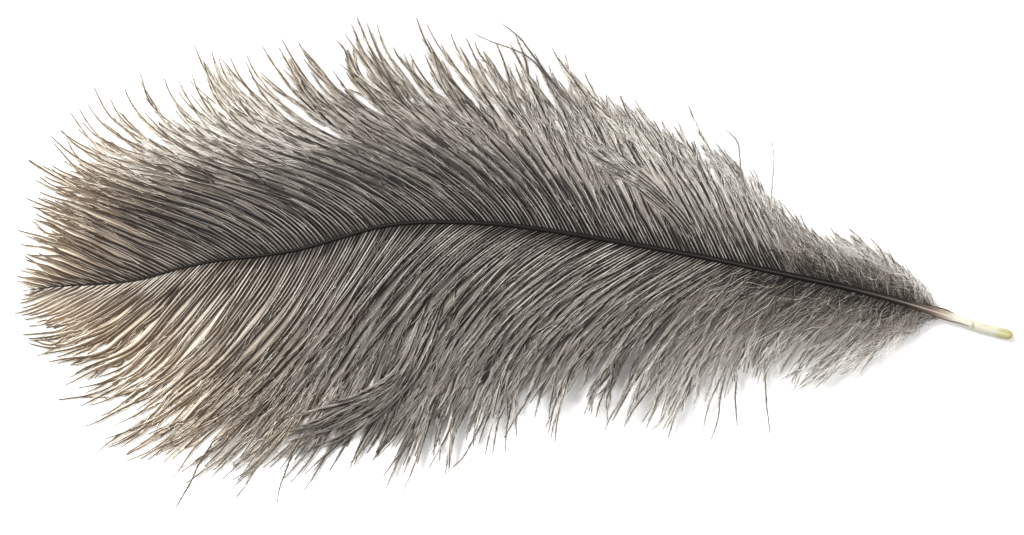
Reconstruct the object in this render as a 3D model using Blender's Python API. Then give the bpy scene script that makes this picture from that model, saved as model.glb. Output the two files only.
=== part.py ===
# An ostrich feather lying top side up on a flat surface, its tip towards -X and its quill towards +X.
# The shaft bows up off the surface. Both vanes leave its sides and droop until they lie flat, and
# their margins part into pointed locks of barbs.

import bpy
import bmesh
import numpy as np
from mathutils import Vector

MM = 0.001
CENTRE = (-0.05, -0.67)  # middle of the feather's outline in the frame of the points below, mm

# The shaft's centreline from the end of the quill to the tip: along, across and height in mm.
SHAFT_POINTS = (
    (124.8, -18.5, 1.3), (116.5, -16.2, 1.6), (106.5, -12.8, 2.4), (96.5, -9.8, 3.6),
    (81.5, -6.0, 5.4), (66.5, -2.8, 7.0), (51.5, 0.4, 8.2), (36.5, 3.2, 9.0),
    (21.5, 5.8, 9.4), (6.5, 8.2, 9.5), (-3.5, 9.4, 9.4), (-13.5, 9.9, 9.2),
    (-23.5, 9.9, 8.9), (-33.5, 8.8, 8.5), (-43.5, 6.0, 8.0), (-53.5, 3.2, 7.4),
    (-63.5, 1.5, 6.7), (-73.5, 0.5, 5.9), (-83.5, -1.6, 5.0), (-93.5, -4.4, 4.0),
    (-103.5, -5.5, 3.0), (-113.5, -6.0, 2.0), (-123.0, -7.2, 1.2),
)
# Its radius at distances from the end of the quill, both in mm.
SHAFT_RADII = (
    (0.0, 1.25), (3.0, 1.3), (16.0, 1.25), (30.0, 1.15), (60.0, 1.05), (100.0, 0.9),
    (150.0, 0.75), (200.0, 0.55), (235.0, 0.4), (252.0, 0.2),
)
SHAFT_SIDES = 10
SHAFT_STATIONS = 36
SHAFT_FIRST = 4.0  # where the even steps along the shaft start, past the quill's rounded end, mm
# The rings of the quill's rounded end: their distances in mm, and their radii over the quill's.
QUILL_END = ((0.0, 0.45), (0.5, 0.85), (1.6, 1.0))

# The barbs at distances from the end of the quill: distance and reach in mm, then how far a barb
# leans out from the way to the tip at its root, its middle and its tip, in degrees, and how high
# above the surface its tip stays, in mm.
UPPER_BARBS = (
    (20, 5, 80, 75, 60, 1.5), (30, 23, 60, 55, 40, 1.0), (38, 21, 53, 54, 50, 0.8),
    (45, 27, 50, 55, 65, 0.5), (60, 38, 60, 65, 60, 0), (80, 46, 65, 60, 55, 0),
    (100, 54, 60, 65, 60, 0), (120, 65, 65, 40, 70, 0), (140, 71, 50, 25, 65, 0),
    (160, 70, 50, 20, 70, 0), (180, 67, 55, 15, 55, 0), (200, 52, 35, 20, 30, 0),
    (220, 32, 25, 25, 25, 0), (235, 18, 15, 20, 20, 0), (250, 6, 10, 10, 10, 0.4),
)
LOWER_BARBS = (
    (20, 19, 20, 35, 40, 2.5), (30, 27, 50, 45, 40, 3.5), (40, 33, 35, 40, 80, 4.0),
    (50, 37, 25, 50, 90, 4.0), (60, 51, 20, 55, 70, 4.0), (80, 62, 30, 45, 95, 4.0),
    (100, 75, 25, 50, 95, 3.0), (120, 82, 25, 60, 75, 0), (140, 86, 35, 55, 55, 0),
    (160, 84, 60, 50, 40, 0), (180, 72, 65, 45, 30, 0), (200, 54, 50, 45, 15, 0),
    (220, 34, 35, 30, 5, 0), (235, 20, 25, 25, 20, 0), (250, 5, 20, 20, 20, 0.4),
)
BARB_STEPS = 24

# The locks: how many a side, how unevenly they share the shaft, the rows of points along a lock, at
# which row each notch between two locks ends, how much of a lock's width is left at its tip, and by
# how much its reach may fall short.
LOCKS = 38
UNEVEN_WIDTHS = 0.22
UNEVEN_TURN = 2.4  # radians from one edge to the next
ROWS = (0, 0.1, 0.22, 0.35, 0.48, 0.6, 0.7, 0.8, 0.9, 1)
NOTCH_ROWS = (5, 4, 6, 5, 7, 5, 6, 4, 6, 5, 7)
NOTCH_SHIFT = 4  # how far the upper vane's notches are moved on from the lower vane's
TIP_WIDTH = 0.08
REACH_CHANGE = 0.04
REACH_TURN = 1.9  # radians from one lock to the next
LIE_DOWN = 0.7  # share of the reach at which the vanes have come down to lie flat

# The vanes' thickness from the shaft to the margin, and the height of the locks' ridges, in mm.
THICKNESS = ((0, 0.7), (0.2, 1.1), (0.6, 1.0), (0.85, 0.8), (1, 0.35))
RIDGES = ((0, 0), (0.22, 0.7), (0.6, 1.2), (0.85, 0.9), (1, 0.2))
BELOW_SHAFT = 0.5  # the vanes' underside at the shaft, below its centreline

# Locks that lie across the others: points along, across and height in mm, and the widest half
# width and thickness in mm.
SWEPT_LOCK = ((-22, -26, 2.4), (-36, -34, 2.1), (-46, -38, 2.0), (-57, -41, 1.7), (-64, -42, 1.3))
CROSSING_LOCK = ((43, 8, 7.8), (37, 17, 5.3), (27, 23, 3.9), (20, 29, 2.9), (14, 36, 1.2))
STRAY_LOCKS = (
    ("swept_lock", SWEPT_LOCK, 2.6, 1.5),
    ("crossing_lock", CROSSING_LOCK, 1.6, 1.4),
)
STRAY_WIDTHS = (0.35, 0.8, 1.0, 0.7, 0.2)
STRAY_SIDES = 8
WELD_DISTANCE = 0.03

BARB_COLOUR = (0.19, 0.165, 0.145, 1)
QUILL_COLOUR = (0.72, 0.68, 0.52, 1)


def clear_scene():
    for thing in list(bpy.data.objects):
        bpy.data.objects.remove(thing, do_unlink=True)


def smooth_through(knots, values, at):
    # A cubic curve through every value, with slopes taken from the neighbours.
    knots = np.asarray(knots, float)
    values = np.asarray(values, float)
    slopes = np.gradient(values, knots)
    at = np.clip(at, knots[0], knots[-1])
    left = np.clip(np.searchsorted(knots, at, side="right") - 1, 0, len(knots) - 2)
    gap = knots[left + 1] - knots[left]
    u = (at - knots[left]) / gap
    rise = values[left] * (2 * u**3 - 3 * u**2 + 1) + values[left + 1] * (3 * u**2 - 2 * u**3)
    bend = slopes[left] * (u**3 - 2 * u**2 + u) + slopes[left + 1] * (u**3 - u**2)
    return rise + bend * gap


def shaft_stations():
    points = np.array(SHAFT_POINTS)[:, :2]
    steps = np.linalg.norm(np.diff(points, axis=0), axis=1)
    return np.concatenate(([0.0], np.cumsum(steps)))


def shaft_at(station):
    knots = shaft_stations()
    return np.array([smooth_through(knots, column, station) for column in np.array(SHAFT_POINTS).T])


def barb_values(rows, station):
    table = np.array(rows, float)
    return [smooth_through(table[:, 0], column, station) for column in table[:, 1:].T]


def barb_path(rows, side, station):
    # The barb that grows at this station: its points across the surface in equal steps.
    reach, root, middle, tip, hover = barb_values(rows, station)
    t = (np.arange(BARB_STEPS) + 0.5) / BARB_STEPS
    lean = np.radians(
        root * (1 - t) * (1 - 2 * t) + 4 * middle * t * (1 - t) + tip * t * (2 * t - 1)
    )
    steps = np.stack([-np.cos(lean), side * np.sin(lean)], 1) * reach / BARB_STEPS
    start = shaft_at(station)[:2]
    return np.vstack([start, start + np.cumsum(steps, 0)]), hover


def along(path, share):
    places = np.linspace(0, 1, len(path))
    return np.array([np.interp(share, places, column) for column in path.T])


def edge_station(edge):
    # Where the edge between two locks leaves the shaft. Edge 0 is nearest the quill.
    first = UPPER_BARBS[0][0]
    last = UPPER_BARBS[-1][0]
    uneven = UNEVEN_WIDTHS * np.sin(UNEVEN_TURN * edge) * (0 < edge < LOCKS)
    return first + (last - first) * (edge + uneven) / LOCKS


def notch_row(edge, side):
    # The outer edges of the first and last lock have no neighbour, so they run to the tip.
    if edge in (0, LOCKS):
        return 0
    return NOTCH_ROWS[(edge + (side > 0) * NOTCH_SHIFT) % len(NOTCH_ROWS)]


def underside(station, side, hover, share):
    # The height of the vane's underside at this share of the reach.
    at_shaft = shaft_at(station)[2] - BELOW_SHAFT
    fall = 0.5 + 0.5 * np.cos(np.pi * min(1.0, share / LIE_DOWN))
    return max(0.0, hover + (at_shaft - hover) * fall)


def lock_strips(lock, side):
    # The two edges and the ridge of one lock, as rows of places, underside heights and thicknesses.
    rows = UPPER_BARBS if side > 0 else LOWER_BARBS
    stations = [edge_station(lock), 0.0, edge_station(lock + 1)]
    stations[1] = (stations[0] + stations[2]) / 2
    paths, hovers = zip(*(barb_path(rows, side, station) for station in stations))
    reach = 1 - REACH_CHANGE * (1 + np.sin(REACH_TURN * lock + side))
    strips = []
    for place, (station, path, hover) in enumerate(zip(stations, paths, hovers)):
        notch = ROWS[notch_row(lock + place // 2, side)]
        strip = []
        for row in ROWS:
            past = max(0.0, (row - notch) / (1 - notch))
            share = row * (1 - past) + row * reach * past
            draw = 0 if place == 1 else (1 - TIP_WIDTH) * past
            at = along(path, share) * (1 - draw) + along(paths[1], share) * draw
            thick = np.interp(row, *zip(*THICKNESS))
            if place == 1:
                thick += np.interp(row, *zip(*RIDGES))
            strip.append((*at, underside(station, side, hover, row), thick))
        strips.append(strip)
    return strips


def vane_sheet(name):
    # The underside of both vanes, lock by lock, raised to their thickness.
    mesh = bmesh.new()
    thickness = mesh.verts.layers.float.new("thickness")
    shared = {}

    def corner(key, x, y, under, thick):
        if key not in shared:
            place = Vector(shifted((x, y, under))) * MM
            shared[key] = mesh.verts.new(place)
            shared[key][thickness] = thick * MM
        return shared[key]

    for side in (-1, 1):
        for lock in range(LOCKS):
            strips = []
            for place, strip in enumerate(lock_strips(lock, side)):
                column = 2 * lock + place
                joined = len(ROWS) if place == 1 else notch_row(column // 2, side)
                corners = []
                for row, values in enumerate(strip):
                    key = (column, row * side) if row <= joined else (column, row * side, lock)
                    corners.append(corner(key, *values))
                strips.append(corners)
            for left, right in zip(strips, strips[1:]):
                for row in range(len(ROWS) - 1):
                    face = (left[row], left[row + 1], right[row + 1], right[row])
                    mesh.faces.new(face)
    bmesh.ops.recalc_face_normals(mesh, faces=mesh.faces[:])
    under_side = mesh.faces[:]
    grown = bmesh.ops.extrude_face_region(mesh, geom=under_side, use_keep_orig=True)
    for item in grown["geom"]:
        if isinstance(item, bmesh.types.BMVert):
            item.co.z += item[thickness]
    bmesh.ops.recalc_face_normals(mesh, faces=mesh.faces[:])
    return finish(mesh, name)


def ring(mesh, centre, ahead, radius, sides, flat=1.0):
    # A closed ring of points square to the way ahead, with its first point level with the centre.
    ahead = Vector(ahead).normalized()
    across = ahead.cross(Vector((0, 0, 1))).normalized()
    up = across.cross(ahead)
    found = []
    for number in range(sides):
        angle = 2 * np.pi * number / sides
        offset = across * np.cos(angle) * radius + up * np.sin(angle) * radius * flat
        found.append(mesh.verts.new((Vector(centre) + offset) * MM))
    return found


def skin(mesh, rings):
    # Faces between neighbouring rings, and one across each end.
    for here, there in zip(rings, rings[1:]):
        for number in range(len(here)):
            after = (number + 1) % len(here)
            mesh.faces.new((here[number], here[after], there[after], there[number]))
    mesh.faces.new(rings[0][::-1])
    mesh.faces.new(rings[-1])
    bmesh.ops.recalc_face_normals(mesh, faces=mesh.faces[:])


def shifted(point):
    return (point[0] - CENTRE[0], point[1] - CENTRE[1], point[2])


def shaft(name):
    # A tube along the centreline that thins towards the tip, with a rounded quill end.
    length = shaft_stations()[-1]
    stations = np.concatenate((np.array(QUILL_END)[:, 0], np.linspace(SHAFT_FIRST, length, SHAFT_STATIONS)))
    mesh = bmesh.new()
    rings = []
    for station in stations:
        centre = shaft_at(station)
        ahead = shaft_at(min(station + 1, length)) - shaft_at(max(station - 1, 0))
        radius = np.interp(station, *zip(*SHAFT_RADII)) * np.interp(station, *zip(*QUILL_END))
        rings.append(ring(mesh, shifted(centre), ahead, radius, SHAFT_SIDES))
    skin(mesh, rings)
    return finish(mesh, name)


def stray_lock(name, points, half_width, thickness):
    # A flattened, pointed bunch that lies across the locks below it.
    mesh = bmesh.new()
    rings = []
    for number, point in enumerate(points):
        before = points[max(number - 1, 0)]
        after = points[min(number + 1, len(points) - 1)]
        ahead = np.subtract(after, before)
        width = half_width * STRAY_WIDTHS[number]
        flat = thickness / 2 / half_width
        rings.append(ring(mesh, shifted(point), ahead, width, STRAY_SIDES, flat))
    skin(mesh, rings)
    return finish(mesh, name)


def finish(mesh, name):
    data = bpy.data.meshes.new(name)
    mesh.to_mesh(data)
    mesh.free()
    thing = bpy.data.objects.new(name, data)
    bpy.context.scene.collection.objects.link(thing)
    return thing


def coloured(name, colour, roughness):
    material = bpy.data.materials.new(name)
    material.use_nodes = True
    shader = material.node_tree.nodes["Principled BSDF"]
    shader.inputs["Base Color"].default_value = colour
    shader.inputs["Roughness"].default_value = roughness
    shader.inputs["Metallic"].default_value = 0
    return material


def fuse(body, other):
    # The other piece grows out of the body, so the two are one solid.
    other.hide_render = True
    other.display_type = "WIRE"
    union = body.modifiers.new("with_" + other.name, "BOOLEAN")
    union.operation = "UNION"
    union.solver = "EXACT"
    union.object = other


def weld(body):
    # Closes the hair-thin steps that a union leaves where two surfaces nearly meet.
    welding = body.modifiers.new("weld", "WELD")
    welding.merge_threshold = WELD_DISTANCE * MM


def build_feather():
    feather = vane_sheet("ostrich_feather")
    feather.data.materials.append(coloured("grey_brown_barbs", BARB_COLOUR, 0.8))
    bare_shaft = shaft("shaft")
    bare_shaft.data.materials.append(coloured("ivory_quill", QUILL_COLOUR, 0.4))
    bare_shaft.data.shade_smooth()
    fuse(feather, bare_shaft)
    for name, points, half_width, thickness in STRAY_LOCKS:
        lock = stray_lock(name, points, half_width, thickness)
        fuse(feather, lock)
    weld(feather)


clear_scene()
build_feather()
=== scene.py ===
import math
import bpy
import numpy as np
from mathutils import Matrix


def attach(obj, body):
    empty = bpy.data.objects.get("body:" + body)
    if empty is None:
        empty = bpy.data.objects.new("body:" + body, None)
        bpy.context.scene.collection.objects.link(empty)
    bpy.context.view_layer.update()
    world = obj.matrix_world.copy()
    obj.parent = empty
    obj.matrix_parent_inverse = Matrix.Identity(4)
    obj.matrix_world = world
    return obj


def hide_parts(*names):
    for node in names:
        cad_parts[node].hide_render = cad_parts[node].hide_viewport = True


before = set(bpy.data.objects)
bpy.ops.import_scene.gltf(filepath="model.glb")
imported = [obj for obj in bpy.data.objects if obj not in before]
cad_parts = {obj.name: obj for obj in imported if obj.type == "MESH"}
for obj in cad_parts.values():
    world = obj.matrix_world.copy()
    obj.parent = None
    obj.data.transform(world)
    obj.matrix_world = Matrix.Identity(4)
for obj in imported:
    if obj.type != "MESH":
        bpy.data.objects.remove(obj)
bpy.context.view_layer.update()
node = "ostrich_feather"
mm = 0.001
print("frame loaded")

# the feather's own drawing, in mm, as the CAD has it: tip towards -X, quill towards +X
drawing = {
    "centre": (-0.05, -0.67),
    "shaft": [
        (124.8, -18.5, 1.3), (116.5, -16.2, 1.6), (106.5, -12.8, 2.4), (96.5, -9.8, 3.6),
        (81.5, -6.0, 5.4), (66.5, -2.8, 7.0), (51.5, 0.4, 8.2), (36.5, 3.2, 9.0),
        (21.5, 5.8, 9.4), (6.5, 8.2, 9.5), (-3.5, 9.4, 9.4), (-13.5, 9.9, 9.2),
        (-23.5, 9.9, 8.9), (-33.5, 8.8, 8.5), (-43.5, 6.0, 8.0), (-53.5, 3.2, 7.4),
        (-63.5, 1.5, 6.7), (-73.5, 0.5, 5.9), (-83.5, -1.6, 5.0), (-93.5, -4.4, 4.0),
        (-103.5, -5.5, 3.0), (-113.5, -6.0, 2.0), (-123.0, -7.2, 1.2),
    ],
    # station and reach of a barb, its lean at root, middle and tip in degrees, its tip's height
    "barbs": {
        1: [
            (20, 5, 80, 75, 60, 1.5), (30, 23, 60, 55, 40, 1.0), (38, 21, 53, 54, 50, 0.8),
            (45, 27, 50, 55, 65, 0.5), (60, 38, 60, 65, 60, 0), (80, 46, 65, 60, 55, 0),
            (100, 54, 60, 65, 60, 0), (120, 65, 65, 40, 70, 0), (140, 71, 50, 25, 65, 0),
            (160, 70, 50, 20, 70, 0), (180, 67, 55, 15, 55, 0), (200, 52, 35, 20, 30, 0),
            (220, 32, 25, 25, 25, 0), (235, 18, 15, 20, 20, 0), (250, 6, 10, 10, 10, 0.4),
        ],
        -1: [
            (20, 19, 20, 35, 40, 2.5), (30, 27, 50, 45, 40, 3.5), (40, 33, 35, 40, 80, 4.0),
            (50, 37, 25, 50, 90, 4.0), (60, 51, 20, 55, 70, 4.0), (80, 62, 30, 45, 95, 4.0),
            (100, 75, 25, 50, 95, 3.0), (120, 82, 25, 60, 75, 0), (140, 86, 35, 55, 55, 0),
            (160, 84, 60, 50, 40, 0), (180, 72, 65, 45, 30, 0), (200, 54, 50, 45, 15, 0),
            (220, 34, 35, 30, 5, 0), (235, 20, 25, 25, 20, 0), (250, 5, 20, 20, 20, 0.4),
        ],
    },
    # the locks of each vane: how uneven their widths are, and at which row the notch between two ends
    "locks": 38, "unevenWidths": 0.22, "unevenTurn": 2.4,
    "rows": (0, 0.1, 0.22, 0.35, 0.48, 0.6, 0.7, 0.8, 0.9, 1),
    "notchRows": (5, 4, 6, 5, 7, 5, 6, 4, 6, 5, 7), "notchShift": 4,
    # the share of the reach at which the vanes lie flat, and their underside at the shaft
    "lieDown": 0.7, "belowShaft": 0.5,
}


def smoothThrough(knots, values, at):
    # a cubic curve through every value, with slopes taken from the neighbours
    knots = np.asarray(knots, float)
    values = np.asarray(values, float)
    slopes = np.gradient(values, knots)
    at = np.clip(at, knots[0], knots[-1])
    left = np.clip(np.searchsorted(knots, at, side="right") - 1, 0, len(knots) - 2)
    gap = knots[left + 1] - knots[left]
    u = (at - knots[left]) / gap
    rise = values[left] * (2 * u**3 - 3 * u**2 + 1) + values[left + 1] * (3 * u**2 - 2 * u**3)
    bend = slopes[left] * (u**3 - 2 * u**2 + u) + slopes[left + 1] * (u**3 - u**2)
    return rise + bend * gap


shaftLine = np.array(drawing["shaft"], float)
shaftKnots = np.concatenate(([0.0], np.cumsum(np.linalg.norm(np.diff(shaftLine[:, :2], axis=0), axis=1))))
shaftLength = shaftKnots[-1]
firstBarb = drawing["barbs"][1][0][0]
lastBarb = drawing["barbs"][1][-1][0]


def shaftAt(station):
    return np.stack([smoothThrough(shaftKnots, column, station) for column in shaftLine.T], -1)


def lockEdge(edge):
    # the station of the edge between two locks; edge 0 is nearest the quill
    inside = 0 < edge < drawing["locks"]
    uneven = drawing["unevenWidths"] * math.sin(drawing["unevenTurn"] * edge) * inside
    return firstBarb + (lastBarb - firstBarb) * (edge + uneven) / drawing["locks"]


def notchAt(edge, side):
    rows = drawing["notchRows"]
    if edge in (0, drawing["locks"]):
        return 0.0
    return drawing["rows"][rows[(edge + (side > 0) * drawing["notchShift"]) % len(rows)]]


# each vane as a fine net: how a barb runs from any station on the shaft, to a bit past its reach
netSizes = {"stationStep": 0.5, "rows": 60, "longest": 1.25, "before": 4, "after": 2.01}
netStart = firstBarb - netSizes["before"]


def growNet(side):
    guides = np.array(drawing["barbs"][side], float)
    stations = np.arange(netStart, lastBarb + netSizes["after"], netSizes["stationStep"])
    reach, root, middle, tip, hover = (
        smoothThrough(guides[:, 0], guides[:, k], stations)[:, None] for k in range(1, 6)
    )
    stepShare = netSizes["longest"] / netSizes["rows"]
    t = np.clip((np.arange(netSizes["rows"]) + 0.5) * stepShare, 0, 1)[None]
    lean = np.radians(root * (1 - t) * (1 - 2 * t) + 4 * middle * t * (1 - t) + tip * t * (2 * t - 1))
    start = shaftAt(stations)
    zero = np.zeros((len(stations), 1))
    x = start[:, :1] - np.hstack([zero, np.cumsum(np.cos(lean), 1)]) * reach * stepShare
    y = start[:, 1:2] + side * np.hstack([zero, np.cumsum(np.sin(lean), 1)]) * reach * stepShare
    shares = np.arange(netSizes["rows"] + 1)[None] * stepShare
    fall = 0.5 + 0.5 * np.cos(np.pi * np.clip(shares / drawing["lieDown"], 0, 1))
    under = hover + (start[:, 2:] - drawing["belowShaft"] - hover) * fall
    return np.stack([x, y, np.maximum(under, 0)], -1), reach[:, 0]


nets = {side: growNet(side) for side in (1, -1)}
print("vane nets laid out")


def netPoint(side, station, share):
    # the place on a vane at a station and at a share of the barb's reach there
    net = nets[side][0]
    lastRow, lastColumn = net.shape[0] - 1.001, net.shape[1] - 1.001
    a = np.clip((station - netStart) / netSizes["stationStep"], 0, lastRow)
    b = np.clip(share * netSizes["rows"] / netSizes["longest"], 0, lastColumn)
    i, j = a.astype(int), b.astype(int)
    u, v = (a - i)[..., None], (b - j)[..., None]
    near = net[i, j] * (1 - v) + net[i, j + 1] * v
    far = net[i + 1, j] * (1 - v) + net[i + 1, j + 1] * v
    return near * (1 - u) + far * u


def reachAt(side, station):
    reach = nets[side][1]
    return np.interp(station, netStart + netSizes["stationStep"] * np.arange(len(reach)), reach)


def valueAt(pairs, station):
    # a value that changes along the shaft, from pairs of station and value
    return np.interp(station, *zip(*pairs))


def smoothStep(low, high, value):
    u = np.clip((value - low) / (high - low), 0, 1)
    return u * u * (3 - 2 * u)


def spots(patches, side, station, share):
    # what soft spots add at each place of a vane
    total = np.zeros(np.broadcast(station, share).shape)
    for spotSide, atStation, atShare, wide, long, amount in patches:
        if spotSide in (0, side):
            off = ((station - atStation) / wide) ** 2 + ((share - atShare) / long) ** 2
            total = total + amount * np.exp(-off)
    return total


def blend(pair, amount):
    return pair[0] + (pair[1] - pair[0]) * amount


# slow bends: how many waves lie over each other, the turns of the first one, and those added by each
bendWaves = {"count": 3, "first": 0.6, "more": 0.7, "start": (0, 6.28)}


def wander(rng, count, t):
    # slow random bends, one row for each barb
    total = np.zeros((count, t.shape[-1]))
    for k in range(bendWaves["count"]):
        turns = bendWaves["first"] + bendWaves["more"] * k
        angle = 2 * np.pi * turns * t + rng.uniform(*bendWaves["start"], (count, 1))
        total += rng.normal(0, 1, (count, 1)) * np.sin(angle) / (1 + k)
    return total


# the colours of the barbs from dark to pale: grey-brown over most of the feather, warm at its tip
barbColours = {
    "grey": [
        (0.0, (0.004, 0.003, 0.003)), (0.2, (0.036, 0.030, 0.025)), (0.4, (0.147, 0.127, 0.108)),
        (0.6, (0.334, 0.300, 0.264)), (0.8, (0.615, 0.580, 0.530)), (1.0, (0.93, 0.90, 0.86)),
    ],
    "warm": [
        (0.0, (0.010, 0.006, 0.003)), (0.2, (0.056, 0.035, 0.021)), (0.4, (0.190, 0.130, 0.084)),
        (0.6, (0.420, 0.312, 0.205)), (0.8, (0.690, 0.592, 0.460)), (1.0, (0.95, 0.91, 0.82)),
    ],
    "roughness": 0.6, "downRoughness": 0.75, "specular": 0.3,
}


def addNode(tree, kind, inputs, **settings):
    # a shader node with its settings, and what feeds each input or stands in it
    made = tree.nodes.new("ShaderNode" + kind)
    for key, value in settings.items():
        setattr(made, key, value)
    for key, value in inputs.items():
        if isinstance(value, bpy.types.NodeSocket):
            tree.links.new(value, made.inputs[key])
        else:
            made.inputs[key].default_value = value
    return made


def addRamp(tree, stops, factor):
    # a colour ramp through (place, colour) stops
    ramp = addNode(tree, "ValToRGB", {"Fac": factor})
    elements = ramp.color_ramp.elements
    while len(elements) < len(stops):
        elements.new(0.5)
    for element, (place, colour) in zip(elements, stops):
        element.position = place
        element.color = (*colour, 1)
    return ramp.outputs["Color"]


def readMap(tree):
    # the two values that each point of a piece carries in its UV map
    where = addNode(tree, "UVMap", {}, uv_map="OFBake")
    return addNode(tree, "SeparateXYZ", {"Vector": where.outputs["UV"]}).outputs


def newMaterial(name, roughness, specular):
    material = bpy.data.materials.new(name)
    material.use_nodes = True
    shader = material.node_tree.nodes["Principled BSDF"]
    shader.inputs["Roughness"].default_value = roughness
    shader.inputs["Specular IOR Level"].default_value = specular
    return material, material.node_tree, shader


def buildBarbColour():
    group = bpy.data.node_groups.new("barbColour", "ShaderNodeTree")
    group.interface.new_socket("Shade", in_out="INPUT", socket_type="NodeSocketFloat")
    group.interface.new_socket("Warmth", in_out="INPUT", socket_type="NodeSocketFloat")
    group.interface.new_socket("Colour", in_out="OUTPUT", socket_type="NodeSocketColor")
    entry = group.nodes.new("NodeGroupInput")
    leave = group.nodes.new("NodeGroupOutput")
    grey, warm = (addRamp(group, barbColours[key], entry.outputs["Shade"]) for key in ("grey", "warm"))
    mixed = addNode(group, "Mix", {"Factor": entry.outputs["Warmth"], "A": grey, "B": warm}, data_type="RGBA")
    group.links.new(mixed.outputs["Result"], leave.inputs["Colour"])
    return group


def fibreMaterial(name, roughness):
    material, tree, shader = newMaterial(name, roughness, barbColours["specular"])
    carried = readMap(tree)
    shadeAndWarmth = {"Shade": carried["X"], "Warmth": carried["Y"]}
    colour = addNode(tree, "Group", shadeAndWarmth, node_tree=barbColourGroup)
    tree.links.new(colour.outputs["Colour"], shader.inputs["Base Color"])
    return material


barbColourGroup = buildBarbColour()
barbMaterial = fibreMaterial("softBarbs", barbColours["roughness"])
downMaterial = fibreMaterial("down", barbColours["downRoughness"])


# what every mesh keeps to: its lowest height in mm, and how its tones are jittered and held
meshLimits = {"lowest": 0.03, "jitter": 0.006, "seed": 5, "tones": (0.004, 0.996)}


def fromCentre(points):
    # from the drawing's own place to the middle of the feather's outline
    return points - np.array([*drawing["centre"], 0])


def joinedMesh(name, parts, material):
    # one mesh from arrays of points, triangles, and the shade and warmth of each point
    points = np.concatenate([p[0] for p in parts])
    starts = np.cumsum([0] + [len(p[0]) for p in parts[:-1]])
    triangles = np.concatenate([p[1] + start for p, start in zip(parts, starts)])
    tones = np.concatenate([p[2] for p in parts])
    jitter = meshLimits["jitter"]
    tones = tones + np.random.default_rng(meshLimits["seed"]).uniform(-jitter, jitter, tones.shape)
    tones = np.clip(tones, *meshLimits["tones"])
    placed = fromCentre(points)
    placed[:, 2] = np.maximum(placed[:, 2], meshLimits["lowest"])
    mesh = bpy.data.meshes.new(name)
    mesh.vertices.add(len(placed))
    mesh.vertices.foreach_set("co", (placed * mm).astype(np.float32).ravel())
    mesh.loops.add(triangles.size)
    mesh.loops.foreach_set("vertex_index", triangles.astype(np.int32).ravel())
    mesh.polygons.add(len(triangles))
    mesh.polygons.foreach_set("loop_start", np.arange(0, triangles.size, 3, dtype=np.int32))
    mesh.update(calc_edges=True)
    layer = mesh.uv_layers.new(name="OFBake")
    layer.uv.foreach_set("vector", tones[triangles.ravel()].astype(np.float32).ravel())
    mesh.materials.append(material)
    mesh.validate()
    piece = bpy.data.objects.new(name, mesh)
    bpy.context.scene.collection.objects.link(piece)
    print(name, len(triangles), "triangles")
    return piece


up = np.array([0.0, 0.0, 1.0])


def frameOf(line, side):
    # the way a barb runs, and the level way across it, towards the feather's tip
    tangent = np.gradient(line, axis=-2)
    tangent = tangent / np.linalg.norm(tangent, axis=-1)[..., None]
    across = np.stack([-side * tangent[..., 1], side * tangent[..., 0], np.zeros(tangent.shape[:-1])], -1)
    across = across / np.linalg.norm(across, axis=-1)[..., None]
    return tangent, across


def banded(rails, tones, warmth, bands):
    # strips between rails that run side by side; rails and tones: barb, step, rail
    count, steps, wide = tones.shape
    points = rails.reshape(-1, 3)
    index = np.arange(count * steps * wide).reshape(count, steps, wide)
    faces = []
    for left, right in bands:
        a, b = index[:, :-1, left], index[:, :-1, right]
        c, d = index[:, 1:, right], index[:, 1:, left]
        faces.append(np.stack([a, b, c], -1).reshape(-1, 3))
        faces.append(np.stack([a, c, d], -1).reshape(-1, 3))
    heat = np.broadcast_to(warmth[..., None], tones.shape)
    return points, np.concatenate(faces), np.stack([tones.ravel(), heat.ravel()], 1)


# where the vanes turn from crisp barbs into loose fluff: station, share where it starts and ends
looseRows = {
    1: [
        (20, 0.05, 0.35), (42, 0.15, 0.6), (60, 0.2, 0.85), (100, 0.14, 0.65), (140, 0.24, 0.75),
        (180, 0.32, 0.85), (205, 0.38, 1.05), (235, 0.45, 1.3),
    ],
    -1: [
        (20, 0.05, 0.30), (60, 0.10, 0.50), (100, 0.20, 0.80), (140, 0.18, 0.76),
        (165, 0.14, 0.64), (185, 0.25, 0.85), (205, 0.32, 1.05), (235, 0.35, 1.3),
    ],
}
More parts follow.
